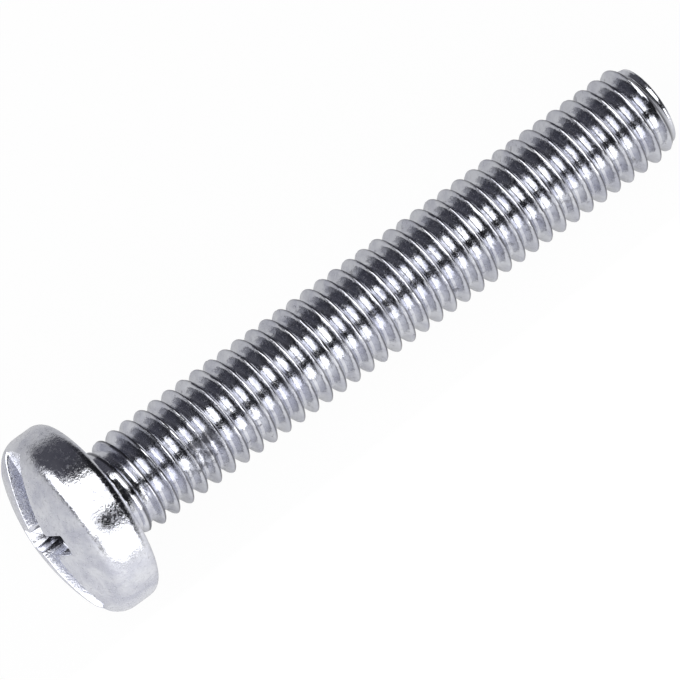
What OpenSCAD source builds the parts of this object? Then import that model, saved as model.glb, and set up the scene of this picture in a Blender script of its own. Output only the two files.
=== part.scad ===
// Pan head machine screw with a slot and cross recess, No. 10-32 by 1-1/4 inch.
// It lies on a level surface as it comes to rest: the rim of the head and the last full
// crest of the thread touch z = 0, the shank points along +X and the crown faces -X.
// Millimetres. Inside the modules the screw stands on its own axis, with the seat of the
// head at z = 0, the crown below it and the point above it.

/* [Head] */
// Diameter of the head
head_d = 9.14; // [8.6:0.02:10.2]
// Height from the seat to the top of the crown
head_h = 3.1; // [2.8:0.05:3.6]
// Radius of the crown
crown_r = 10; // [8:0.5:16]
// Radius of the shoulder between the crown and the side
shoulder_r = 1.1; // [0.5:0.05:1.3]
// Radius of the edge between the side and the seat
rim_r = 0.15; // [0.05:0.01:0.3]

/* [Drive] */
// Width of the slot
slot_w = 1.7; // [1.2:0.05:2]
// Depth of the slot below the top of the crown
slot_depth = 1.1; // [0.6:0.05:1.3]
// Distance across the tips of two opposite wings of the cross recess, level with the crown's top
cross_d = 4.9; // [4.2:0.05:5.4]
// Width of a wing, level with the crown's top
wing_w = 1.05; // [0.8:0.05:1.3]
// Angle between a wing's outer edge and the axis
wing_slope = 26.5; // [20:0.5:30]
// Draft of a wing's two sides
wing_draft = 3; // [1:0.5:6]
// Depth of the cross recess, to the flat of its floor
cross_depth = 2.35; // [1.8:0.05:2.4]
// Width of the core across the corners between the wings, level with the crown's top
core_d = 2.3; // [1.8:0.05:2.6]
// Angle between the core's corners and the axis
core_slope = 5.75; // [3:0.25:8]
// Depth of the blunt cone in the middle of the floor
floor_cone = 0.25; // [0.1:0.05:0.3]
// Turn of the drive about the axis, from straight down
drive_turn = 122; // [0:1:359]

/* [Thread] */
// Length under the head
shank_l = 31.75; // [12:0.25:40]
// Distance between two crests
pitch = 0.79375; // [0.7:0.00625:1]
// Diameter over the crests
thread_d = 4.72; // [4.5:0.01:4.85]
// Depth of the thread, from crest to root
thread_h = 0.445; // [0.35:0.005:0.47]
// Width of the flat on the crest
crest_w = 0.16; // [0.08:0.01:0.2]
// Angle between the two flanks of a groove
flank_angle = 60; // [50:1:60]
// Turn of the thread about the axis: the crest's place straight down
thread_turn = 270; // [0:1:359]

/* [Neck and point] */
// Diameter of the plain neck under the head
neck_d = 4.26; // [4.1:0.02:4.4]
// Length of the plain neck
neck_l = 0.6; // [0.4:0.05:1.2]
// Height of the fillet between the neck and the seat
neck_fillet = 0.28; // [0.1:0.02:0.4]
// Length over which the thread rises from the neck to its full depth
run_out = 1.4; // [0.6:0.05:2]
// Diameter of the flat end face
point_d = 3.96; // [3.4:0.02:4.1]
// Length of the chamfer at the point
point_l = 0.65; // [0.5:0.05:1.4]
// Length of the plain land between the end of the thread and the end face
land_l = 0.12; // [0.08:0.01:0.25]
// Width of the broken edge of the end face
end_edge = 0.04; // [0.02:0.01:0.08]

/* [Hidden] */
plating = [0.78, 0.79, 0.83];
$fn = 96;

// Sides of one turn of the thread
TURN_SIDES = 28;
// How far a cut reaches past the face that it starts from
CUT = 0.5;
// How far one solid is sunk into its neighbour where the two are one metal
SINK = 0.2;

// Head
head_r = head_d / 2;
crown_z = crown_r - head_h;
shoulder_at = head_r - shoulder_r;
shoulder_z = crown_z - sqrt(pow(crown_r - shoulder_r, 2) - pow(shoulder_at, 2));
shoulder_angle = atan2(shoulder_at, crown_z - shoulder_z);

// Cross recess
cross_floor_z = cross_depth - head_h;
cross_floor_r = cross_d / 2 - cross_depth * tan(wing_slope);
wing_floor_w = wing_w - 2 * cross_depth * tan(wing_draft);
core_r = core_d / 2;
core_floor_r = core_r - cross_depth * tan(core_slope);
floor_tip_r = core_floor_r / 3;

// Thread: one pitch is a crest flat, a flank, a root flat and a flank
crest_r = thread_d / 2;
root_r = crest_r - thread_h;
neck_r = neck_d / 2;
flank_w = thread_h * tan(flank_angle / 2);
LEVELS = [0, crest_w, crest_w + flank_w, pitch - flank_w];
RADII = [crest_r, crest_r, root_r, root_r];
STEPS = len(LEVELS);

// Point: the thread fades out on the plain end of the blank, a little wider than the root
point_r = point_d / 2;
blank_r = (root_r + point_r) / 2;
thread_end = shank_l - land_l;

// The thread is a sheet wound round the axis. Its first turns are pressed flat inside the
// head, and its last turns inside the land, each into a part of the room that there is
head_room = (head_h - cross_depth - floor_cone) / 2;
land_room = land_l / 2;
crest_down_z = pitch * thread_turn / 360;
sheet_start = crest_down_z - crest_w / 2 - pitch * ceil(crest_down_z / pitch + 1);
rows = STEPS * ceil((thread_end - sheet_start) / pitch);

// Lying pose: a line that touches the rim and the last full crest straight down
last_crest_z = crest_down_z + pitch * floor((shank_l - point_l - crest_down_z) / pitch);
rest_run = last_crest_z + rim_r;
rest_drop = head_r - rim_r - crest_r;
rest_tilt = atan2(rest_drop, rest_run) + asin(rim_r / sqrt(pow(rest_run, 2) + pow(rest_drop, 2)));
rest_height = last_crest_z * sin(rest_tilt) + crest_r * cos(rest_tilt);
crown_x = crown_z * cos(rest_tilt) - crown_r;
point_x = shank_l * cos(rest_tilt) + point_r * sin(rest_tilt);

// Height of the sheet at a row and a column, before its ends are pressed flat
function raw_z(i, j) = sheet_start + pitch * (floor(i / STEPS) + j / TURN_SIDES) + LEVELS[i % STEPS];

// Height as drawn, with the turns past the seat and past the thread's end pressed flat
function drawn_z(z) =
    z < 0 ? z * head_room / (2 * pitch)
    : z > thread_end ? thread_end + (z - thread_end) * land_room / (2 * pitch)
    : z;

// How far the thread has risen from the neck, and how far it has gone down the chamfer
function rise(z) = min(1, max(0, (z - neck_l) / run_out));
function fall(z) = max(0, (z - shank_l + point_l) / point_l);

// Most and least radius of the thread at a height
function most_r(z) =
    z > thread_end ? point_r - SINK
    : min(neck_r + (crest_r - neck_r) * rise(z), crest_r - (crest_r - point_r) * fall(z));
function least_r(z) = neck_r - (neck_r - root_r) * rise(z);

function thread_point(i, j) =
    let (z = raw_z(i, j), a = 360 * j / TURN_SIDES, r = min(max(RADII[i % STEPS], least_r(z)), most_r(z)))
    [r * cos(a), r * sin(a), drawn_z(z)];

// Place of a sheet point in the list: one more column is the first column, one pitch on
function at(i, j) =
    j == TURN_SIDES ? at(i + STEPS, 0)
    : i <= rows ? i * TURN_SIDES + j
    : (rows + 1) * TURN_SIDES + i - rows - 1;

// The threaded shank: the wound sheet, closed by a cap at each end
module threaded_shank() {
    sheet = [for (i = [0:rows]) for (j = [0:TURN_SIDES - 1]) thread_point(i, j)];
    seam = [for (i = [rows + 1:rows + STEPS]) thread_point(i, 0)];
    caps = [[0, 0, drawn_z(-crest_w / 4)], [0, 0, drawn_z(thread_end + pitch)]];
    first = len(sheet) + len(seam);
    last = first + 1;
    points = concat(sheet, seam, caps);
    wall = [
        for (i = [0:rows - 1]) for (j = [0:TURN_SIDES - 1])
            each [[at(i, j), at(i + 1, j), at(i + 1, j + 1)], [at(i, j), at(i + 1, j + 1), at(i, j + 1)]]
    ];
    start_cap = [
        for (j = [0:TURN_SIDES - 1]) [first, at(0, j), at(0, j + 1)],
        for (i = [0:STEPS - 1]) [first, at(i + 1, 0), at(i, 0)]
    ];
    end_cap = [
        for (j = [0:TURN_SIDES - 1]) [last, at(rows, j + 1), at(rows, j)],
        for (i = [rows:rows + STEPS - 1]) [last, at(i, 0), at(i + 1, 0)]
    ];
    polyhedron(points, concat(wall, start_cap, end_cap), convexity = 10);
}

// The plain end of the blank, with its flat face
module point() {
    rotate_extrude()
        polygon([
            [0, shank_l - point_l - blank_r], [blank_r, shank_l - point_l],
            [point_r, shank_l - end_edge], [point_r - end_edge, shank_l], [0, shank_l]
        ]);
}

// Half section of the head, and the fillet that carries the neck
module head_section() {
    // crown, as far as the shoulder
    intersection() {
        translate([0, crown_z]) circle(crown_r);
        polygon([
            [0, shoulder_z], [shoulder_at, shoulder_z],
            [(crown_r + CUT) * sin(shoulder_angle), crown_z - (crown_r + CUT) * cos(shoulder_angle)],
            [0, crown_z - crown_r - CUT]
        ]);
    }
    translate([shoulder_at, shoulder_z]) circle(shoulder_r);
    translate([0, shoulder_z]) square([head_r, -shoulder_z - rim_r]);
    translate([head_r - rim_r, -rim_r]) circle(rim_r);
    translate([0, -2 * rim_r]) square([head_r - rim_r, 2 * rim_r]);
    polygon([
        [0, -rim_r], [neck_r + neck_fillet + rim_r, -rim_r], [neck_r + neck_fillet, 0],
        [neck_r - SINK, neck_fillet + SINK], [0, neck_fillet + SINK]
    ]);
}

// One pair of opposite wings, tapered in width with depth
module wing_pair() {
    rotate([90, 0, 90])
        translate([0, 0, -cross_d])
            linear_extrude(2 * cross_d)
                polygon([
                    [-wing_floor_w / 2, cross_floor_z], [wing_floor_w / 2, cross_floor_z],
                    [wing_w / 2 + CUT * tan(wing_draft), -head_h - CUT],
                    [-wing_w / 2 - CUT * tan(wing_draft), -head_h - CUT]
                ]);
}

// The cross recess: two pairs of wings inside a cone, round a tapered core with a blunt floor
module cross_recess() {
    intersection() {
        union() {
            wing_pair();
            rotate([0, 0, 90]) wing_pair();
        }
        translate([0, 0, -head_h - CUT])
            cylinder(
                h = cross_depth + 2 * CUT,
                r1 = cross_d / 2 + CUT * tan(wing_slope),
                r2 = cross_floor_r - CUT * tan(wing_slope)
            );
    }
    rotate_extrude()
        polygon([
            [0, -head_h - CUT], [core_r + CUT * tan(core_slope), -head_h - CUT],
            [core_floor_r, cross_floor_z], [floor_tip_r, cross_floor_z + floor_cone],
            [0, cross_floor_z + floor_cone]
        ]);
}

// The drive: the slot runs right across the head, in line with one pair of wings
module drive() {
    rotate([0, 0, drive_turn]) {
        translate([-head_d, -slot_w / 2, -head_h - CUT]) cube([2 * head_d, slot_w, slot_depth + CUT]);
        cross_recess();
    }
}

// The whole screw, laid on its rim and its last full crest
module machine_screw() {
    color(plating)
        translate([-(crown_x + point_x) / 2, 0, rest_height])
            rotate([0, 90 + rest_tilt, 0])
                union() {
                    difference() {
                        rotate_extrude() head_section();
                        drive();
                    }
                    threaded_shank();
                    point();
                }
}

machine_screw();
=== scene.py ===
import math

import bmesh
import bpy
import numpy as np
from bpy.props import FloatProperty, FloatVectorProperty, IntProperty, PointerProperty
from mathutils import Matrix, Vector
from mathutils.geometry import delaunay_2d_cdt


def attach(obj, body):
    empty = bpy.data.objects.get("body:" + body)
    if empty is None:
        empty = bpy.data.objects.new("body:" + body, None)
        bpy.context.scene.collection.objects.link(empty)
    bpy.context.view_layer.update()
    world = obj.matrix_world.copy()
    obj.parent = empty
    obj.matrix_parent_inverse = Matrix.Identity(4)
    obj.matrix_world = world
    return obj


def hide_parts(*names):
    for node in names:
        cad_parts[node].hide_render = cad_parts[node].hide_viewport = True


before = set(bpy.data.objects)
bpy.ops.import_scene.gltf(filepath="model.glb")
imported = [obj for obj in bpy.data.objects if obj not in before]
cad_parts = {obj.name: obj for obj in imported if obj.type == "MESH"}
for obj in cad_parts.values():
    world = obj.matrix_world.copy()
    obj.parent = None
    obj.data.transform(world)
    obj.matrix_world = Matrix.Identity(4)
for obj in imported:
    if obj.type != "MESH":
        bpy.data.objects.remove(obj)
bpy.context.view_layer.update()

bl_info = {
    "name": "Plated machine screw",
    "version": (1, 0, 0),
    "blender": (4, 5, 0),
    "location": "3D View > Sidebar > Screw",
    "description": "A pan head machine screw with a slot and a cross recess, and its stage",
    "category": "Add Mesh",
}

NODE = "machine_screw"
BODY = "root"

MM = 0.001
JOIN = 0.001  # points of the screw nearer than this, in millimetres, are one point
TURN = 2 * math.pi

# The screw is worked out in millimetres on its own axis, as in the part's source: the seat of
# the head is at z = 0, the crown is below it, and the point is above it.


def length(name, description, millimetres):
    """A size that a user can change, in metres."""
    return FloatProperty(
        name=name, description=description, default=millimetres * MM,
        min=0.0, precision=5, unit="LENGTH", subtype="DISTANCE",
    )


def angle(name, description, degrees):
    """An angle that a user can change."""
    return FloatProperty(
        name=name, description=description, default=math.radians(degrees),
        unit="ROTATION", subtype="ANGLE",
    )


def share(name, description, value):
    """A share from 0 to 1 that a user can change."""
    return FloatProperty(
        name=name, description=description, default=value, min=0.0, max=1.0, subtype="FACTOR",
    )


def tint(name, description, colour):
    """A colour that a user can change."""
    return FloatVectorProperty(
        name=name, description=description, default=colour, size=3,
        min=0.0, max=1.0, subtype="COLOR",
    )


class HeadSizes(bpy.types.PropertyGroup):
    """Sizes of the pan head and its drive."""

    width: length("Width", "Diameter of the head", 9.14)
    height: length("Height", "Height from the seat to the top of the crown", 3.1)
    crown: length("Crown", "Radius of the crown", 10)
    shoulder: length("Shoulder", "Radius between the crown and the side", 1.1)
    rim: length("Rim", "Radius of the edge that the head lies on", 0.15)
    skirt: length("Skirt", "Length of the head's side that bends in towards the seat", 0.5)
    skirt_bend: length("Skirt bend", "How far the side bends in towards the seat", 0.34)
    slot_width: length("Slot width", "Width of the slot", 1.7)
    slot_depth: length("Slot depth", "Depth of the slot below the top of the crown", 1.1)
    slot_lean: length("Slot lean", "How far a wall of the slot leans in towards its floor", 0.03)
    cross_width: length("Cross width", "Distance across two opposite wings of the recess", 4.9)
    cross_depth: length("Cross depth", "Depth of the recess to the flat of its floor", 2.35)
    wing_width: length("Wing width", "Width of a wing of the recess", 1.05)
    wing_slope: angle("Wing slope", "Angle between the outer edge of a wing and the axis", 26.5)
    wing_draft: angle("Wing draft", "Draft of the two sides of a wing", 3)
    core_width: length("Core width", "Width of the core of the recess", 2.3)
    core_slope: angle("Core slope", "Angle between the core and the axis", 5.75)
    floor_cone: length("Floor cone", "Depth of the blunt cone in the floor of the recess", 0.25)
    drive_turn: angle("Drive turn", "Turn of the slot about the axis", 122)
    slot_edge: length("Slot edge", "Radius of the worn edge of the slot and the recess", 0.07)
    floor_edge: length("Floor edge", "Radius of the edge of the recess in the slot's floor", 0.04)


class ThreadSizes(bpy.types.PropertyGroup):
    """Sizes of the neck, the thread and the point."""

    reach: length("Length", "Length under the head", 31.75)
    pitch: length("Pitch", "Distance between two crests", 0.79375)
    width: length("Width", "Diameter over the crests", 4.72)
    depth: length("Depth", "Depth of the thread from crest to root", 0.445)
    crest: length("Crest", "Width of the flat on the crest", 0.09)
    flank: angle("Flank angle", "Angle between the two flanks of a groove", 60)
    turn: angle("Turn", "Turn of the thread about the axis", 270)
    crest_round: length("Crest rounding", "How softly a crest turns into its flanks", 0.04)
    root_round: length("Root rounding", "How softly a root turns into its flanks", 0.12)
    neck_width: length("Neck width", "Diameter of the plain neck", 4.26)
    neck: length("Neck", "Length of the plain neck under the head", 0.6)
    fillet: length("Fillet", "Radius between the neck and the seat", 0.28)
    run_out: length("Run-out", "Length over which the thread rises from the neck", 1.4)
    point_width: length("Point width", "Diameter of the flat end", 3.96)
    point: length("Point", "Length of the chamfer", 0.65)
    land: length("Land", "Length of the plain land at the end", 0.12)
    end_edge: length("End edge", "Radius of the edge of the flat end", 0.06)
    nicks: length("Nicks", "Depth of the nicks in the crests", 0.035)
    sides: IntProperty(
        name="Sides", description="Number of sides of one turn", default=96, min=12, max=180,
    )
    rows: IntProperty(
        name="Rows", description="Number of rows of faces from one crest to the next",
        default=14, min=8, max=24,
    )


class PlatingLook(bpy.types.PropertyGroup):
    """The bright zinc plating."""

    pale: tint("Pale zinc", "Colour where the plating is clean", (0.78, 0.79, 0.83))
    grey: tint("Grey zinc", "Colour where the plating is clouded", (0.60, 0.61, 0.68))
    # Near black: painted shade past each crest and in the cross recess, far darker than bare
    # steel.
    bare: tint("Bare steel", "Colour of the crests, where the plating is thin", (0.05, 0.05, 0.06))
    # This colour also paints shade in the thread's grooves and the cross recess.
    stain: tint("Stain", "Colour of dried plating salts and dirt", (0.10, 0.10, 0.12))
    gloss: share("Roughness", "Roughness where the plating is bright", 0.05)
    cloud: share("Clouded roughness", "Roughness where the plating is clouded", 0.14)
    # Strength of the painted shade past each crest.
    crest_shade: share("Wear", "How thin the plating is on the crests", 0.8)
    dents: share("Dents", "Strength of the shallow dents left by heading and tumbling", 0.5)
    rubbed: share("Rubbed spot", "Wear and dirt on one spot of the thread near the head", 0.9)
    pits: share("Pits", "Strength of the small pits under the plating", 0.5)
    skin: share("Skin", "Strength of the fine grain of the plating", 0.25)


class StageLook(bpy.types.PropertyGroup):
    """The floor, the lamps and the camera."""

    floor: tint("Floor", "Colour of the floor", (0.6, 0.6, 0.61))
    surround: tint("Surround", "Colour of the room above the horizon", (0.085, 0.085, 0.1))
    lamp: FloatProperty(
        name="Lamp", description="Brightness of the lamps, where 1 is white", default=2.4, min=0.0,
    )


# ---------------------------------------------------------------- shape of the head

# Lengths in millimetres.
TINY = 1e-9  # stands in for a radius of nothing where it divides
ON_WALL = 1e-5  # a point this near the top of the slot's wall isn't in the slot
ON_EDGE = 2e-3  # a point this near a line of the drive lies on it
ON_RECESS = 0.01  # a point this near the recess's depth lies in the recess
EDGE_SHARES = (0, 0.134, 0.5, 1)  # where a rounded edge of the drive gets its lines of points
MEET_STEPS = 8  # steps that find where a cone meets the crown
MEET_WING_STEPS = 4  # steps that find where a wing's side meets the crown
PLAN_STEP = 0.14  # distance between the points of the crown's plan
PLAN_JOIN = 1e-4  # points of the plan nearer than this are one point
EDGE_STEP = 0.7  # distance between the points of the drive's edges, in steps of the plan
RIM_CLEAR, EDGE_CLEAR = 0.8, 0.45  # room kept from the rim and the edges, in steps of the plan
RIM_MARGIN = 0.09  # from the end of the slot to where the crown's plan stops


class Crown:
    """The top of the head as a relief: how deep a place in its plan lies, in millimetres.

    x runs along the slot. Depth counts from the top of the crown into the head.
    """

    def __init__(self, sizes):
        mm = {key: getattr(sizes, key) / MM for key in (
            "width", "height", "crown", "shoulder", "slot_width", "slot_depth", "slot_lean",
            "cross_width", "cross_depth", "wing_width", "core_width", "floor_cone",
            "slot_edge", "floor_edge",
        )}
        self.radius = mm["width"] / 2
        self.crown, self.shoulder = mm["crown"], mm["shoulder"]
        self.shoulder_at = self.radius - self.shoulder
        reach = math.sqrt((self.crown - self.shoulder) ** 2 - self.shoulder_at ** 2)
        self.side_depth = self.crown - reach
        self.crown_radius = self.crown * self.shoulder_at / (self.crown - self.shoulder)
        self.slot_top = mm["slot_width"] / 2
        self.slot_foot = self.slot_top - mm["slot_lean"]
        self.slot_depth = mm["slot_depth"]
        self.cross_reach = mm["cross_width"] / 2
        self.cross_depth = mm["cross_depth"]
        self.wing, self.core = mm["wing_width"] / 2, mm["core_width"] / 2
        self.cone = mm["floor_cone"]
        self.slope = math.tan(sizes.wing_slope)
        self.draft = math.tan(sizes.wing_draft)
        self.taper = math.tan(sizes.core_slope)
        self.slot_edge, self.floor_edge = mm["slot_edge"], mm["floor_edge"]
        self.core_foot = self.core - self.cross_depth * self.taper
        self.cone_foot = self.core_foot / 3
        climb = self.shoulder ** 2 - (self.side_depth - self.slot_depth) ** 2
        self.slot_end = self.shoulder_at + math.sqrt(climb)

    def bare(self, r):
        """Depth of the crown and shoulder without the drive."""
        crown = self.crown - np.sqrt(np.maximum(self.crown ** 2 - r ** 2, 0))
        bend = np.sqrt(np.maximum(self.shoulder ** 2 - (r - self.shoulder_at) ** 2, 0))
        return np.where(r <= self.crown_radius, crown, self.side_depth - bend)

    def meets(self, start, fall):
        """Radius at which a cone that narrows from start by fall meets the crown."""
        r = start
        for _ in range(MEET_STEPS):
            r = start - fall * float(self.bare(np.float64(r)))
        return r

    def off_wing(self, across, r, level, edge_level):
        """Distance outside a pair of wings, cut at a level."""
        side = np.abs(across) - (self.wing - self.draft * level)
        end = r - (self.cross_reach - self.slope * edge_level)
        corner = np.hypot(np.maximum(side, 0), np.maximum(end, 0))
        return np.where((side > 0) & (end > 0), corner, np.maximum(side, end))

    def off_top(self, x, y):
        """Distance outside everything that is cut into the crown."""
        r = np.hypot(x, y)
        level = self.bare(r)
        edge_level = (self.cross_reach - self.meets(self.cross_reach, self.slope)) / self.slope
        core = r - self.meets(self.core, self.taper)
        wing = self.off_wing(x, r, level, edge_level)
        return np.minimum(np.minimum(np.abs(y) - self.slot_top, wing), core)

    def off_floor(self, x, y):
        """Distance outside everything that is cut into the slot's floor."""
        r = np.hypot(x, y)
        core = r - (self.core - self.taper * self.slot_depth)
        return np.minimum(self.off_wing(y, r, self.slot_depth, self.slot_depth), core)

    @staticmethod
    def rounded(off, radius):
        """Drop of an edge that is rounded over to a radius."""
        near = 1 - np.clip(off / np.maximum(radius, TINY), 0, 1)
        return radius * (1 - np.sqrt(1 - near ** 2))

    def recess(self, x, y):
        """Depth of the cross recess alone."""
        r = np.hypot(x, y)
        ends = (self.cross_reach - r) / self.slope
        sides = (self.wing - np.minimum(np.abs(x), np.abs(y))) / self.draft
        wings = np.minimum(np.minimum(sides, ends), self.cross_depth)
        cone = (self.core_foot - r) / (self.core_foot - self.cone_foot)
        floor = self.cross_depth + self.cone * np.clip(cone, 0, 1)
        return np.maximum(wings, np.minimum((self.core - r) / self.taper, floor))

    def depth(self, x, y):
        """Depth of the finished relief."""
        bare = self.bare(np.hypot(x, y))
        edge = np.clip(self.slot_depth - bare, 0, self.slot_edge)
        skin = bare + edge * self.rounded(self.off_top(x, y), self.slot_edge) / self.slot_edge
        foot = self.slot_depth + self.rounded(self.off_floor(x, y), self.floor_edge)
        fall = (self.slot_top - np.abs(y)) / (self.slot_top - self.slot_foot)
        wall = skin + np.clip(fall, 0, 1) * (foot - skin)
        in_slot = np.abs(y) < self.slot_top - ON_WALL
        slotted = np.where(in_slot, np.maximum(wall, bare), skin)
        return np.maximum(slotted, self.recess(x, y))

    def arc(self, r, first, last, step):
        """Points on a circle round the axis, from one angle to another."""
        steps = max(2, math.ceil(abs(last - first) * r / step) + 1)
        t = np.linspace(first, last, steps)
        return np.column_stack((r * np.cos(t), r * np.sin(t)))

    def edges(self, step):
        """Lines in the plan along which the relief bends, each a row of points."""
        lines = []

        def both_ways(x, y):
            for sx in (1, -1):
                for sy in (1, -1):
                    lines.append(np.column_stack((sx * x, sy * y)))

        def keep(x, y, off, wanted):
            """The stretches of a line that lie at the wanted distance from a cut."""
            held = (np.abs(off(x, y) - wanted) < ON_EDGE) & (np.hypot(x, y) < self.slot_end)
            cuts = np.flatnonzero(np.diff(held.astype(int))) + 1
            for run_x, run_y, run in zip(
                np.split(x, cuts), np.split(y, cuts), np.split(held, cuts)
            ):
                if run[0] and len(run_x) > 1:
                    both_ways(run_x, run_y)

        top_core = self.meets(self.core, self.taper)
        top_end = self.meets(self.cross_reach, self.slope)
        along = np.arange(0, self.slot_end + step / 2, step)
        for share_of_edge in EDGE_SHARES:
            away = share_of_edge * self.slot_edge
            keep(along, np.full_like(along, self.slot_top + away), self.off_top, away)
            side_y = np.arange(self.slot_top, top_end + step, step)
            side_x = np.full_like(side_y, self.wing)
            for _ in range(MEET_WING_STEPS):
                side_x = self.wing - self.draft * self.bare(np.hypot(side_x, side_y)) + away
            keep(side_x, side_y, self.off_top, away)
            for r in (top_core + away, top_end + away):
                ring = self.arc(r, 0, TURN / 4, step / 2)
                keep(ring[:, 0], ring[:, 1], self.off_top, away)
            away = share_of_edge * self.floor_edge
            half = self.wing - self.draft * self.slot_depth
            keep(along, np.full_like(along, half + away), self.off_floor, away)
            for r in (
                self.core - self.taper * self.slot_depth + away,
                self.cross_reach - self.slope * self.slot_depth + away,
            ):
                ring = self.arc(r, 0, TURN / 4, step / 2)
                inside = np.abs(ring[:, 1]) < self.slot_foot
                keep(ring[inside, 0], ring[inside, 1], self.off_floor, away)
        # foot of the slot's walls, and its two ends in the shoulder
        foot_end = math.sqrt(self.slot_end ** 2 - self.slot_foot ** 2)
        foot = np.linspace(0, foot_end, math.ceil(foot_end / step) + 1)
        both_ways(foot, np.full_like(foot, self.slot_foot))
        half_angle = math.asin(self.slot_foot / self.slot_end)
        for middle in (0, math.pi):
            lines.append(self.arc(self.slot_end, middle - half_angle, middle + half_angle, step))
        # foot of the recess
        half = self.wing - self.draft * self.cross_depth
        wing_end = self.cross_reach - self.slope * self.cross_depth
        wing_foot = np.linspace(
            math.sqrt(self.core_foot ** 2 - half ** 2), math.sqrt(wing_end ** 2 - half ** 2), 6
        )
        both_ways(wing_foot, np.full_like(wing_foot, half))
        both_ways(np.full_like(wing_foot, half), wing_foot)
        half_angle = math.asin(half / wing_end)
        for wing in range(4):
            middle = wing * TURN / 4
            lines.append(self.arc(wing_end, middle - half_angle, middle + half_angle, step))
        for r in (self.core_foot, self.cone_foot):
            lines.append(self.arc(r, 0, TURN, step))
        return lines


def crown_mesh(crown, rim_radius, sides, turn):
    """Points and faces of the crown inside a circle, with the drive's edges on lines of points."""
    start = np.arange(sides) * TURN / sides - turn
    ring = np.column_stack((rim_radius * np.cos(start), rim_radius * np.sin(start)))
    step = PLAN_STEP
    lines = crown.edges(step * EDGE_STEP)
    points = [ring]
    joins = [(i, (i + 1) % sides) for i in range(sides)]
    count = sides
    for line in lines:
        points.append(line)
        joins += [(count + i, count + i + 1) for i in range(len(line) - 1)]
        count += len(line)
    fixed = np.concatenate(points)
    cells = np.arange(-crown.radius, crown.radius, step)
    gx, gy = np.meshgrid(cells, np.arange(-crown.radius, crown.radius, step * math.sqrt(0.75)))
    gx = gx + (np.arange(gx.shape[0]) % 2)[:, None] * step / 2
    free = np.column_stack((gx.ravel(), gy.ravel()))
    free = free[np.hypot(free[:, 0], free[:, 1]) < rim_radius - step * RIM_CLEAR]
    clear = [np.min(np.hypot(*(fixed - p).T)) > step * EDGE_CLEAR for p in free]
    free = free[np.array(clear)]
    plan = [Vector(p) for p in np.concatenate((fixed, free))]
    plan, _, faces, *_ = delaunay_2d_cdt(plan, joins, [], 0, PLAN_JOIN)
    flat = np.array([tuple(p) for p in plan])
    z = crown.depth(flat[:, 0], flat[:, 1])
    c, s = math.cos(turn), math.sin(turn)
    turned = np.column_stack((
        flat[:, 0] * c - flat[:, 1] * s, flat[:, 0] * s + flat[:, 1] * c, z
    ))
    return turned, faces


def lathe(profile, sides):
    """Points and faces of a profile of (radius, z) turned round the axis."""
    t = np.arange(sides) * TURN / sides
    points = np.concatenate([
        np.column_stack((r * np.cos(t), r * np.sin(t), np.full(sides, z))) for r, z in profile
    ])
    faces = [
        (k * sides + i, k * sides + (i + 1) % sides,
         (k + 1) * sides + (i + 1) % sides, (k + 1) * sides + i)
        for k in range(len(profile) - 1) for i in range(sides)
    ]
    return points, faces


def quarter(centre, radius, first, last, steps):
    """Points of (radius, z) on an arc of a profile, from one angle to another in degrees."""
    t = np.radians(np.linspace(first, last, steps + 1))
    return [(centre[0] + radius * math.cos(a), centre[1] + radius * math.sin(a)) for a in t]


# ---------------------------------------------------------------- thread


class Tree:
    """A node tree that is built one node at a time."""

    def __init__(self, tree):
        self.tree = tree

    def add(self, kind, settings=None, **inputs):
        """Adds a node. An input is a value or another node's output."""
        node = self.tree.nodes.new(kind)
        for name, value in (settings or {}).items():
            setattr(node, name, value)
        for name, value in inputs.items():
            self.give(node.inputs[name.replace("_", " ")], value)
        return node

    def give(self, socket, value):
        """Links or sets one input."""
        if isinstance(value, bpy.types.NodeSocket):
            self.tree.links.new(value, socket)
        else:
            socket.default_value = value

    def math(self, operation, *values):
        """Adds a Math node and returns its result."""
        node = self.tree.nodes.new("ShaderNodeMath")
        node.operation = operation
        for socket, value in zip(node.inputs, values):
            self.give(socket, value)
        return node.outputs[0]


def noise(t, vector, scale, detail, rough, warp=0.0):
    """Adds a noise texture and returns its value."""
    node = t.add(
        "ShaderNodeTexNoise", {"noise_dimensions": "3D"},
        Vector=vector, Scale=scale, Detail=detail, Roughness=rough, Distortion=warp,
    )
    return node.outputs[0]


ROW_CROWDING = 0.7  # how much closer rows are on the crest and in the root than on the flanks
NICK_SPREAD = 2.3  # radius, in millimetres, at which the nicks' noise is read
NICK_SCALE = 1.9  # nicks in a millimetre, about
NICK_LEVEL = 0.6  # value of the noise above which there is a nick
NICK_RISE = 8.0  # how steeply a nick goes down to its depth

THREAD_INPUTS = (
    "Pitch", "Crest radius", "Depth", "Crest width", "Flank width", "Crest rounding",
    "Root rounding", "First crest", "Neck radius", "Neck end", "Run-out", "Point radius",
    "Chamfer start", "Thread end", "Nick depth",
)


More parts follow.
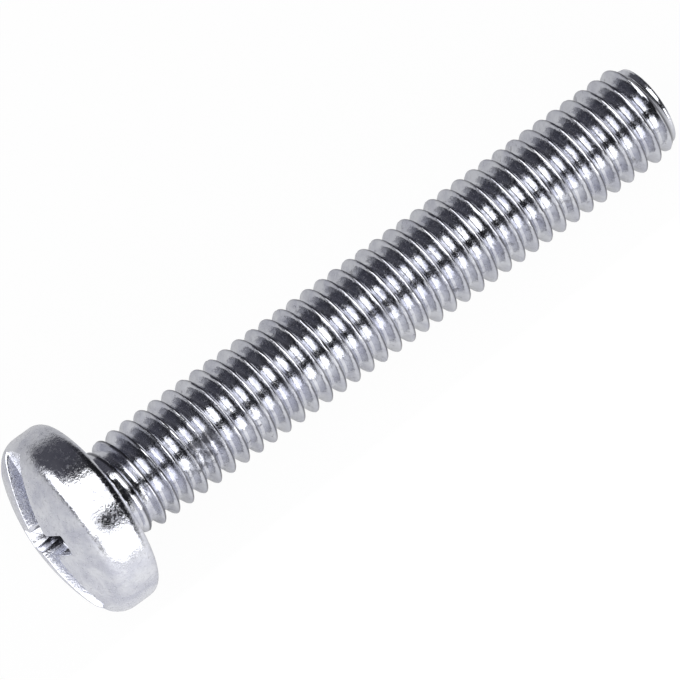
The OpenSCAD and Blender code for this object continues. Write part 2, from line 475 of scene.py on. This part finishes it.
def thread_tree(sides, rows, turns):
    """A thread as one sheet of faces, wound round the axis and laid flat at both ends."""
    tree = bpy.data.node_groups.new("wound_thread", "GeometryNodeTree")
    tree.interface.new_socket("Geometry", in_out="OUTPUT", socket_type="NodeSocketGeometry")
    for name in THREAD_INPUTS:
        tree.interface.new_socket(name, in_out="INPUT", socket_type="NodeSocketFloat")
    tree.interface.new_socket("Material", in_out="INPUT", socket_type="NodeSocketMaterial")
    t = Tree(tree)
    given = t.add("NodeGroupInput").outputs
    steps = turns * sides
    grid = t.add(
        "GeometryNodeMeshGrid", Size_X=float(steps), Size_Y=float(rows),
        Vertices_X=steps + 1, Vertices_Y=rows + 1,
    )
    place = t.add("GeometryNodeInputPosition").outputs[0]
    place = t.add("ShaderNodeSeparateXYZ", Vector=place).outputs
    step = t.math("ROUND", t.math("ADD", place["X"], steps / 2))
    row = t.math("ROUND", t.math("ADD", place["Y"], rows / 2))
    turned = t.math("MULTIPLY", t.math("MODULO", step, float(sides)), TURN / sides)
    # rows are closer together on the crest and in the root than on the flanks
    even = t.math("DIVIDE", row, float(rows))
    wave = t.math("SINE", t.math("MULTIPLY", even, 2 * TURN))
    part = t.math("SUBTRACT", even, t.math("MULTIPLY", wave, ROW_CROWDING / (2 * TURN)))
    along = t.math("ADD", t.math("DIVIDE", step, float(sides)), part)
    z = t.math("MULTIPLY_ADD", along, given["Pitch"], given["First crest"])
    # depth below the crest, from the distance to the middle of the nearest crest
    near = t.math("SUBTRACT", 0.5, t.math("ABSOLUTE", t.math("SUBTRACT", part, 0.5)))
    off = t.math("MULTIPLY", near, given["Pitch"])
    off = t.math("SUBTRACT", off, t.math("MULTIPLY", given["Crest width"], 0.5))
    sunk = t.math("MULTIPLY", t.math("DIVIDE", off, given["Flank width"]), given["Depth"])
    sunk = t.math("SMOOTH_MAX", sunk, 0.0, given["Crest rounding"])
    sunk = t.math("SMOOTH_MIN", sunk, given["Depth"], given["Root rounding"])
    # nicks where the crests have been knocked
    cosine, sine = t.math("COSINE", turned), t.math("SINE", turned)
    spot = t.add("ShaderNodeVectorMath", {"operation": "MULTIPLY_ADD"})
    ring = t.add("ShaderNodeCombineXYZ", X=cosine, Y=sine, Z=0.0)
    t.give(spot.inputs[0], ring.outputs[0])
    t.give(spot.inputs[1], (NICK_SPREAD, NICK_SPREAD, 0.0))
    lift = t.add("ShaderNodeCombineXYZ", X=0.0, Y=0.0, Z=z)
    t.give(spot.inputs[2], lift.outputs[0])
    knock = noise(t, spot.outputs[0], NICK_SCALE, 2.0, 0.6)
    knock = t.math("MAXIMUM", t.math("SUBTRACT", knock, NICK_LEVEL), 0.0)
    knock = t.math("MINIMUM", t.math("MULTIPLY", knock, NICK_RISE), 1.0)
    sunk = t.math("MAXIMUM", sunk, t.math("MULTIPLY", knock, given["Nick depth"]))
    r = t.math("SUBTRACT", given["Crest radius"], sunk)
    # the thread rises from the neck, and goes down the chamfer to the land
    rise = t.math("DIVIDE", t.math("SUBTRACT", z, given["Neck end"]), given["Run-out"])
    rise = t.math("MINIMUM", t.math("MAXIMUM", rise, 0.0), 1.0)
    root = t.math("SUBTRACT", given["Crest radius"], given["Depth"])
    chamfer = t.math("SUBTRACT", given["Thread end"], given["Chamfer start"])
    fall = t.math("DIVIDE", t.math("SUBTRACT", z, given["Chamfer start"]), chamfer)
    fall = t.math("MINIMUM", t.math("MAXIMUM", fall, 0.0), 1.0)

    def blend(start, end, factor):
        return t.math("MULTIPLY_ADD", t.math("SUBTRACT", end, start), factor, start)

    most = t.math(
        "MINIMUM", blend(given["Neck radius"], given["Crest radius"], rise),
        blend(given["Crest radius"], given["Point radius"], fall),
    )
    least = t.math(
        "MAXIMUM", blend(given["Neck radius"], root, rise),
        blend(root, given["Point radius"], fall),
    )
    r = t.math("MINIMUM", t.math("MAXIMUM", r, least), most)
    flat_z = t.math("MINIMUM", t.math("MAXIMUM", z, given["Neck end"]), given["Thread end"])
    wound = t.add(
        "ShaderNodeCombineXYZ",
        X=t.math("MULTIPLY", r, cosine), Y=t.math("MULTIPLY", r, sine), Z=flat_z,
    ).outputs[0]
    sheet = t.add(
        "GeometryNodeSetPosition", Geometry=grid.outputs["Mesh"], Position=wound,
    ).outputs[0]
    sheet = t.add("GeometryNodeMergeByDistance", Geometry=sheet, Distance=JOIN).outputs[0]
    sheet = t.add("GeometryNodeRealizeInstances", Geometry=sheet).outputs[0]
    sheet = t.add(
        "GeometryNodeSetMaterial", Geometry=sheet, Material=given["Material"],
    ).outputs[0]
    t.add("NodeGroupOutput", Geometry=sheet)
    return tree


def thread_mesh(sizes, material):
    """The threaded length between the neck and the land, in millimetres."""
    mm = {key: getattr(sizes, key) / MM for key in (
        "reach", "pitch", "width", "depth", "crest", "crest_round", "root_round", "neck_width",
        "neck", "run_out", "point_width", "point", "land", "nicks",
    )}
    crest_down = mm["pitch"] * sizes.turn / TURN
    first = crest_down - mm["pitch"] * math.ceil((crest_down - mm["neck"]) / mm["pitch"] + 1)
    thread_end = mm["reach"] - mm["land"]
    turns = math.ceil((thread_end - first) / mm["pitch"]) + 1
    values = dict(zip(THREAD_INPUTS, (
        mm["pitch"], mm["width"] / 2, mm["depth"], mm["crest"],
        mm["depth"] * math.tan(sizes.flank / 2), mm["crest_round"], mm["root_round"], first,
        mm["neck_width"] / 2, mm["neck"], mm["run_out"], mm["point_width"] / 2,
        mm["reach"] - mm["point"], thread_end, mm["nicks"],
    )))
    holder = bpy.data.objects.new("thread_holder", bpy.data.meshes.new("thread_holder"))
    bpy.context.scene.collection.objects.link(holder)
    winding = holder.modifiers.new("wound_thread", "NODES")
    winding.node_group = thread_tree(sizes.sides, sizes.rows, turns)
    values["Material"] = material
    for item in winding.node_group.interface.items_tree:
        if item.item_type == "SOCKET" and item.in_out == "INPUT":
            winding[item.identifier] = values[item.name]
    evaluated = holder.evaluated_get(bpy.context.evaluated_depsgraph_get())
    mesh = bpy.data.meshes.new_from_object(evaluated)
    bpy.data.objects.remove(holder)
    return mesh


# ---------------------------------------------------------------- the whole screw

SHARP_ANGLE = 42  # degrees between two faces above which their edge is shaded sharp
MARKS = ("groove", "crest", "thread", "cross")  # attributes of the points
CREST_SHADE_PAST = (-0.04, 0.0, 0.15, 0.21)  # where the band of painted shade past a crest lies, in pitches past its middle
CREST_SHADE_SHARE = (0, 1, 1, 0)  # how dark the painted shade is there


def head_profile(head, thread, start_radius):
    """The head's outline of (radius, z) from a radius on the shoulder round to the neck."""
    radius, height = head.width / 2 / MM, head.height / MM
    shoulder, fillet = head.shoulder / MM, thread.fillet / MM
    skirt, bend = head.skirt / MM, head.skirt_bend / MM
    neck = thread.neck_width / 2 / MM
    crown = Crown(head)
    middle = (radius - shoulder, crown.side_depth - height)
    start = -math.degrees(math.acos((start_radius - middle[0]) / shoulder))
    profile = quarter(middle, shoulder, start, 0, 5)
    for part in (0.33, 0.67):
        profile.append((radius, middle[1] + part * (-skirt - middle[1])))
    profile += [
        (radius - bend + bend * r, -skirt + skirt * z) for r, z in quarter((0, 0), 1, 0, 90, 12)
    ]
    foot = neck + fillet
    for part in (0.25, 0.5, 0.75):
        profile.append((radius - bend + part * (foot - radius + bend), 0))
    profile += quarter((foot, fillet), fillet, 270, 180, 4)
    profile.append((neck, thread.neck / MM))
    return profile


def point_profile(thread):
    """The outline of the land and the flat end, from the thread to near the axis."""
    radius, reach, edge = thread.point_width / 2 / MM, thread.reach / MM, thread.end_edge / MM
    profile = [(radius, reach - thread.land / MM)]
    profile += quarter((radius - edge, reach - edge), edge, 0, 90, 3)
    for part in (0.75, 0.5, 0.25, 0.1):
        profile.append((radius * part, reach))
    return profile


def lying_pose(head, thread):
    """The matrix that lays the screw down, in metres, and its tilt.

    It lies as the solids do, on the rim of the head and the last full crest. Because the skirt
    bends in, this head's own rim is 0.024 mm off the floor.
    """
    radius, rim, crown = head.width / 2, head.rim, head.crown
    crest = thread.width / 2
    crest_down = thread.pitch * thread.turn / TURN
    count = math.floor((thread.reach - thread.point - crest_down) / thread.pitch)
    run = crest_down + thread.pitch * count + rim
    drop = radius - rim - crest
    tilt = math.atan2(drop, run) + math.asin(rim / math.hypot(run, drop))
    rest_height = (run - rim) * math.sin(tilt) + crest * math.cos(tilt)
    crown_x = (crown - head.height) * math.cos(tilt) - crown
    point_x = thread.reach * math.cos(tilt) + thread.point_width / 2 * math.sin(tilt)
    shift = Matrix.Translation((-(crown_x + point_x) / 2, 0, rest_height))
    return shift @ Matrix.Rotation(math.pi / 2 + tilt, 4, "Y"), tilt


def screw_mesh(head, thread, material):
    """The screw as one closed mesh, in the frame, in metres."""
    crown = Crown(head)
    start_radius = crown.slot_end + RIM_MARGIN
    sides = thread.sides
    bm = bmesh.new()
    bm.from_mesh(thread_mesh(thread, material))
    top, faces = crown_mesh(crown, start_radius, sides, head.drive_turn)
    top[:, 2] -= head.height / MM
    parts = [(top, faces), lathe(head_profile(head, thread, start_radius), sides)]
    end = point_profile(thread)
    points, faces = lathe(end, sides)
    last = (len(end) - 1) * sides
    faces += [(last + i, last + (i + 1) % sides, len(points)) for i in range(sides)]
    parts.append((np.vstack((points, (0, 0, end[-1][1]))), faces))
    for points, faces in parts:
        verts = [bm.verts.new(p) for p in points]
        for face in faces:
            bm.faces.new([verts[i] for i in face])
    bmesh.ops.remove_doubles(bm, verts=bm.verts, dist=JOIN)
    bmesh.ops.dissolve_degenerate(bm, edges=bm.edges, dist=JOIN / 10)
    bmesh.ops.recalc_face_normals(bm, faces=bm.faces)
    if bm.calc_volume(signed=True) < 0:
        bmesh.ops.reverse_faces(bm, faces=bm.faces)
    loose = [edge for edge in bm.edges if not edge.is_manifold]
    if loose:
        places = ", ".join(str(tuple(round(c, 3) for c in e.verts[0].co)) for e in loose[:6])
        raise RuntimeError(f"the screw isn't closed at {len(loose)} edges: {places}")
    mesh = bpy.data.meshes.new("plated_screw")
    bm.to_mesh(mesh)
    bm.free()
    mesh.transform(Matrix.Scale(MM, 4))
    mark_hollows(mesh, crown, head, thread)
    pose, _ = lying_pose(head, thread)
    mesh.transform(pose)
    mesh.shade_smooth()
    mesh.set_sharp_from_angle(angle=math.radians(SHARP_ANGLE))
    mesh.materials.append(material)
    return mesh


def mark_hollows(mesh, crown, head, thread):
    """Stores four marks from 0 to 1 on each point, for the plating to read.

    They are how deep it lies in a groove of the thread, how much painted shade it takes past a
    crest, whether it is beyond the neck, and how deep it lies in the cross recess. The first three
    run on over the land and the flat end, where the painted crest shade leaves a dark wedge.
    """
    co = np.empty(len(mesh.vertices) * 3, np.float32)
    mesh.vertices.foreach_get("co", co)
    x, y, z = co.reshape(-1, 3).T / MM
    r = np.hypot(x, y)
    groove = (thread.width / 2 / MM - r) / (thread.depth / MM)
    depth = z + head.height / MM - crown.bare(np.minimum(r, crown.radius - JOIN))
    threaded = z > thread.neck / MM
    # how far past the middle of its crest each point lies, in pitches, towards the point
    past = z / (thread.pitch / MM) - thread.turn / TURN - np.arctan2(y, x) / TURN
    past -= np.round(past)
    # painted shade: the share of the near-black band just past each crest
    worn = np.interp(past, CREST_SHADE_PAST, CREST_SHADE_SHARE)
    c, s = math.cos(head.drive_turn), math.sin(head.drive_turn)
    cross = crown.recess(x * c + y * s, y * c - x * s)
    on_recess = np.abs(z + head.height / MM - cross) < ON_RECESS
    in_cross = (z < 0) & (r < crown.cross_reach) & on_recess
    values = (
        np.where(threaded, groove, 0),
        np.where(threaded, worn, 0),
        np.where(threaded, 1, 0),
        np.where(in_cross, depth / crown.cross_depth, 0),
    )
    for name, value in zip(MARKS, values):
        layer = mesh.attributes.new(name, "FLOAT", "POINT")
        layer.data.foreach_set("value", np.clip(value, 0, 1).astype(np.float32))


# ---------------------------------------------------------------- plating


def ramp(t, factor, stops):
    """Adds a ramp of greys and returns its colour. A stop is (position, grey)."""
    node = t.add("ShaderNodeValToRGB")
    t.give(node.inputs[0], factor)
    band = node.color_ramp
    while len(band.elements) < len(stops):
        band.elements.new(0.5)
    for element, (position, grey) in zip(band.elements, stops):
        element.position = position
        element.color = (grey, grey, grey, 1)
    return node.outputs[0]


def mixed(t, factor, first, second):
    """Adds a mix of two colours and returns its colour."""
    node = t.add("ShaderNodeMix", {"data_type": "RGBA"})
    for socket, value in ((0, factor), (6, first), (7, second)):
        t.give(node.inputs[socket], value)
    return node.outputs[2]


# Where the rubbed spot is, and how far it reaches, in metres.
RUBBED_SPOT = (-0.00925, -0.00145, 0.0060)
RUBBED_REACH = 0.0012

# Scales of the plating's noises, in waves to a metre.
CLOUD_SCALE = 900.0
DENT_SCALE = 1100.0
SPOT_SCALE = 2600.0
PIT_SCALE = 6000.0
GRAIN_SCALE = 14000.0
LINE_SCALE = 16000.0
LINE_STRETCH = 0.12  # the die lines' scale round the axis, as a share of that along it

# Depths of its bumps, in metres.
DENT_DEPTH = 0.00002
PIT_DEPTH = 0.00003
SKIN_DEPTH = 0.000002

# How much each mark adds to the stains and to the painted shade in the hollows, darkens the colour
# and roughens the plating.
GROOVE_SHADE, RUBBED_STAIN = 0.08, 0.26
STAIN_AND_SHADE_DARK, PIT_DARK = 0.75, 0.16
STAIN_ROUGH, PIT_ROUGH, LINE_ROUGH = 0.22, 0.24, 0.08
THREAD_PITS = 0.65  # pits on the thread, as a share of those on the head


def plating(look, tilt):
    """Bright zinc plating: clouded, dented and with stains, and with painted shade in the hollows
    and past each crest.
    """
    material = bpy.data.materials.new("bright_zinc_plating")
    material.use_nodes = True
    material.node_tree.nodes.clear()
    t = Tree(material.node_tree)
    place = t.add("ShaderNodeTexCoord").outputs["Object"]
    own = t.add(
        "ShaderNodeMapping", {"vector_type": "TEXTURE"},
        Vector=place, Rotation=(0.0, math.pi / 2 + tilt, 0.0),
    ).outputs[0]
    groove, crest, thread, cross = (
        t.add("ShaderNodeAttribute", {"attribute_name": name}).outputs["Fac"] for name in MARKS
    )
    # one rubbed and dirty spot on the thread near the head
    away = t.add("ShaderNodeVectorMath", {"operation": "DISTANCE"})
    t.give(away.inputs[0], place)
    t.give(away.inputs[1], RUBBED_SPOT)
    far = t.math("MULTIPLY", away.outputs["Value"], 1 / RUBBED_REACH)
    rubbed = ramp(t, far, ((0.4, look.rubbed), (1.0, 0.0)))
    # clouds in the plating, a millimetre or so across
    cloud = noise(t, own, CLOUD_SCALE, 4.0, 0.6, 0.4)
    clouded = ramp(t, cloud, ((0.38, 0.0), (0.64, 1.0)))
    # stains in a few spots, and painted shade added in the hollows: more with depth in the
    # thread's grooves, and in the cross recess
    spots = noise(t, own, SPOT_SCALE, 3.0, 0.65, 0.8)
    level = t.math("MULTIPLY_ADD", groove, GROOVE_SHADE, spots)
    level = t.math("ADD", level, ramp(t, cross, ((0.1, 0.0), (0.4, 0.35))))
    level = t.math("MULTIPLY_ADD", rubbed, RUBBED_STAIN, level)
    stain_and_shade = ramp(t, level, ((0.66, 0.0), (0.8, 1.0)))
    # pits under the plating, dull and a little darker at their bottom
    pits = noise(t, own, PIT_SCALE, 3.0, 0.65)
    uneven = t.math("ADD", t.math("MULTIPLY_ADD", thread, THREAD_PITS - 1.0, 1.0), rubbed)
    pitted = t.math("MULTIPLY", ramp(t, pits, ((0.5, 0.0), (0.68, 1.0))), uneven)
    # fine lines round the axis, left by the dies
    lines_place = t.add(
        "ShaderNodeMapping", {"vector_type": "POINT"},
        Vector=own, Scale=(LINE_STRETCH, LINE_STRETCH, 1.0),
    ).outputs[0]
    drawn = noise(t, lines_place, LINE_SCALE, 2.0, 0.5)
    # painted shade in the cross recess, named dirt: it goes near black with its depth, with some
    # plating still bright through it in spots
    recess_shade = ramp(t, cross, ((0.08, 0.0), (0.25, 0.95)))
    dirt = t.math("MULTIPLY", recess_shade, ramp(t, spots, ((0.42, 0.2), (0.54, 1.0))))
    # painted shade along the crests: a near-black band just past each crest
    bare = t.math("MULTIPLY", crest, look.crest_shade)
    dark = t.math("MULTIPLY_ADD", pitted, PIT_DARK, t.math("MULTIPLY", stain_and_shade, STAIN_AND_SHADE_DARK))
    colour = mixed(t, clouded, (*look.pale, 1), (*look.grey, 1))
    colour = mixed(t, dark, colour, (*look.stain, 1))
    # painted shade: the band past each crest and the deep cross recess are mixed towards near
    # black
    colour = mixed(t, t.math("MAXIMUM", bare, dirt), colour, (*look.bare, 1))
    rough = t.math("MULTIPLY_ADD", clouded, look.cloud - look.gloss, look.gloss)
    for mark, rougher in ((stain_and_shade, STAIN_ROUGH), (pitted, PIT_ROUGH), (drawn, LINE_ROUGH)):
        rough = t.math("MULTIPLY_ADD", mark, rougher, rough)
    # shallow dents and pits under the plating, the die lines, and the plating's own grain
    dents = noise(t, own, DENT_SCALE, 2.0, 0.45)
    grain = noise(t, own, GRAIN_SCALE, 2.0, 0.6)
    under = {}
    for height, strength, depth in (
        (dents, look.dents, DENT_DEPTH),
        (pits, t.math("MULTIPLY", uneven, look.pits), PIT_DEPTH),
        (drawn, look.skin, SKIN_DEPTH),
        (grain, look.skin, SKIN_DEPTH),
    ):
        bump = t.add("ShaderNodeBump", Strength=strength, Distance=depth, Height=height, **under)
        under = {"Normal": bump.outputs[0]}
    shader = t.add(
        "ShaderNodeBsdfPrincipled", Base_Color=colour, Metallic=1.0, Roughness=rough, **under,
    )
    t.add("ShaderNodeOutputMaterial", Surface=shader.outputs[0])
    return material


# ---------------------------------------------------------------- stage

FLOOR_HALF = 2.0  # half the side of the floor, in metres
FLOOR_SHOWN = 0.97  # share of white in the floor that the camera sees; its paint is the rest
FLOOR_MIRRORED = 0.25  # share of glow in the floor that the plating mirrors
FLOOR_GLOW = 2.0  # brightness of that glow in front of the screw, where 1 is white
HORIZON = (0.5, 0.5, 0.5, 1)  # colour of the pale band at the horizon
BLACK = (0.0, 0.0, 0.0, 1)
WHITE = (1.0, 1.0, 1.0, 1)

# Azimuth, elevation, heading of the width, width and height: degrees, then metres.
LAMPS = {
    "overhead_lamp": (184, 76, 177, 0.62, 0.31),
    "front_lamp": (255, 26, 345, 0.60, 0.25),
    "left_lamp": (172, 30, 262, 0.45, 0.21),
}
LAMP_DISTANCE = 0.36

CAMERA_PLACE = (-0.11519, -0.141292, 0.490271)
CAMERA_WAY = (0.220126, 0.27125, -0.936999)
CAMERA_LENS = 617.0
SENSOR_WIDTH = 36.0
CLIP_START, CLIP_END = 0.01, 10.0


def floor_material(look):
    """A pale floor that shows white and still takes a shadow. The plating mirrors it dimmer, with
    painted light: a glow brighter in front of the screw than behind it.
    """
    material = bpy.data.materials.new("pale_floor")
    material.use_nodes = True
    material.node_tree.nodes.clear()
    t = Tree(material.node_tree)
    rays = t.add("ShaderNodeLightPath").outputs
    mirrored = t.math("MAXIMUM", rays["Is Glossy Ray"], rays["Is Transmission Ray"])
    shown = t.math("MULTIPLY", rays["Is Camera Ray"], FLOOR_SHOWN)
    white = t.math("MAXIMUM", shown, t.math("MULTIPLY", mirrored, FLOOR_MIRRORED))
    # painted light: in the plating, the floor glows brighter in front of the screw than behind it
    place = t.add("ShaderNodeTexCoord").outputs["Object"]
    back = t.add("ShaderNodeSeparateXYZ", Vector=place).outputs["Y"]
    ahead = t.math("MULTIPLY_ADD", back, -20.0, 0.5)
    pale = ramp(t, ahead, ((0.1, 0.05), (0.5, 0.4), (1.0, 1.0)))
    strength = t.math("MAXIMUM", rays["Is Camera Ray"], t.math("MULTIPLY", pale, FLOOR_GLOW))
    paint = t.add("ShaderNodeBsdfDiffuse", Color=(*look.floor, 1))
    glow = t.add("ShaderNodeEmission", Color=WHITE, Strength=strength)
    mix = t.add("ShaderNodeMixShader")
    t.give(mix.inputs[0], white)
    t.give(mix.inputs[1], paint.outputs[0])
    t.give(mix.inputs[2], glow.outputs[0])
    t.add("ShaderNodeOutputMaterial", Surface=mix.outputs[0])
    return material


def studio_world(look):
    """A dim room, darker on one side, with a pale band where it meets the floor."""
    world = bpy.data.worlds.new("studio")
    world.use_nodes = True
    world.node_tree.nodes.clear()
    t = Tree(world.node_tree)
    way = t.add("ShaderNodeTexCoord").outputs["Generated"]
    part = t.add("ShaderNodeSeparateXYZ", Vector=way).outputs
    # the walls are darkest in front of the screw and beyond its point
    side = t.math("MULTIPLY_ADD", part["X"], -0.7, part["Y"])
    lit = ramp(t, side, ((0.0, 0.14), (0.25, 0.5), (0.6, 1.0)))
    walls = mixed(t, lit, BLACK, (*look.surround, 1))
    # the pale band at the horizon reaches higher in front of the screw
    front = t.math("MINIMUM", part["Y"], 0.0)
    height = t.math("MULTIPLY_ADD", front, 0.3, part["Z"])
    room = mixed(t, ramp(t, height, ((0.0, 0.0), (0.05, 1.0))), HORIZON, walls)
    back = t.add("ShaderNodeBackground", Color=room, Strength=1.0)
    t.add("ShaderNodeOutputWorld", Surface=back.outputs[0])
    return world


def soft_lamp(name, azimuth, elevation, heading, width, height, white):
    """An area lamp that looks at the screw. white is its brightness, where 1 is white.

    Its width runs along the heading, which is an azimuth too.
    """
    light = bpy.data.lights.new(name, "AREA")
    light.shape = "RECTANGLE"
    light.size, light.size_y = width, height
    light.energy = white * math.pi * width * height
    lamp = bpy.data.objects.new(name, light)
    bpy.context.scene.collection.objects.link(lamp)
    a, e, h = (math.radians(value) for value in (azimuth, elevation, heading))
    way = Vector((math.cos(a) * math.cos(e), math.sin(a) * math.cos(e), math.sin(e)))
    along = Vector((math.cos(h), math.sin(h), 0))
    along = (along - way * way.dot(along)).normalized()
    turn = Matrix((along, way.cross(along), way)).transposed()
    lamp.matrix_world = Matrix.Translation(way * LAMP_DISTANCE) @ turn.to_4x4()


def add_camera():
    """The camera at the photograph's angle, with a long lens."""
    camera = bpy.data.objects.new("camera", bpy.data.cameras.new("camera"))
    bpy.context.scene.collection.objects.link(camera)
    camera.data.sensor_width = SENSOR_WIDTH
    camera.data.lens = CAMERA_LENS
    camera.data.clip_start, camera.data.clip_end = CLIP_START, CLIP_END
    camera.location = CAMERA_PLACE
    camera.rotation_mode = "QUATERNION"
    camera.rotation_quaternion = Vector(CAMERA_WAY).to_track_quat("-Z", "Y")
    bpy.context.scene.camera = camera


# ---------------------------------------------------------------- operators


class SCREW_OT_machine_screw(bpy.types.Operator):
    """Makes the plated machine screw in place of its solid"""

    bl_idname = "screw.machine_screw"
    bl_label = "Machine screw"

    def execute(self, context):
        head, thread = context.scene.screw_head, context.scene.screw_thread
        _, tilt = lying_pose(head, thread)
        material = plating(context.scene.screw_plating, tilt)
        piece = bpy.data.objects.new("plated_screw", screw_mesh(head, thread, material))
        context.scene.collection.objects.link(piece)
        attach(piece, BODY)
        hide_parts(NODE)
        return {"FINISHED"}


class SCREW_OT_stage(bpy.types.Operator):
    """Makes the pale floor, the room, the lamps and the camera"""

    bl_idname = "screw.stage"
    bl_label = "Stage"

    def execute(self, context):
        look = context.scene.screw_stage
        half = FLOOR_HALF
        mesh = bpy.data.meshes.new("floor")
        mesh.from_pydata(
            [(-half, -half, 0), (half, -half, 0), (half, half, 0), (-half, half, 0)],
            [], [(0, 1, 2, 3)],
        )
        mesh.materials.append(floor_material(look))
        floor = bpy.data.objects.new("floor", mesh)
        context.scene.collection.objects.link(floor)
        context.scene.world = studio_world(look)
        for name, place in LAMPS.items():
            soft_lamp(name, *place, look.lamp)
        add_camera()
        context.scene.view_settings.view_transform = "Standard"
        return {"FINISHED"}


class SCREW_PT_panel(bpy.types.Panel):
    """Lists the screw's operators and sizes"""

    bl_idname = "SCREW_PT_panel"
    bl_label = "Machine screw"
    bl_space_type = "VIEW_3D"
    bl_region_type = "UI"
    bl_category = "Screw"

    def draw(self, context):
        layout = self.layout
        for group in ("screw_head", "screw_thread", "screw_plating", "screw_stage"):
            box = layout.box()
            box.label(text=group.replace("_", " ").capitalize())
            values = getattr(context.scene, group)
            for name in values.__annotations__:
                box.prop(values, name)
        layout.operator(SCREW_OT_machine_screw.bl_idname)
        layout.operator(SCREW_OT_stage.bl_idname)


GROUPS = {
    "screw_head": HeadSizes,
    "screw_thread": ThreadSizes,
    "screw_plating": PlatingLook,
    "screw_stage": StageLook,
}
CLASSES = (*GROUPS.values(), SCREW_OT_machine_screw, SCREW_OT_stage, SCREW_PT_panel)


def register():
    for cls in CLASSES:
        bpy.utils.register_class(cls)
    for name, group in GROUPS.items():
        setattr(bpy.types.Scene, name, PointerProperty(type=group))


def unregister():
    for name in GROUPS:
        delattr(bpy.types.Scene, name)
    for cls in reversed(CLASSES):
        bpy.utils.unregister_class(cls)


def main():
    register()
    bpy.ops.screw.machine_screw()
    bpy.ops.screw.stage()


if __name__ == "__main__":
    main()
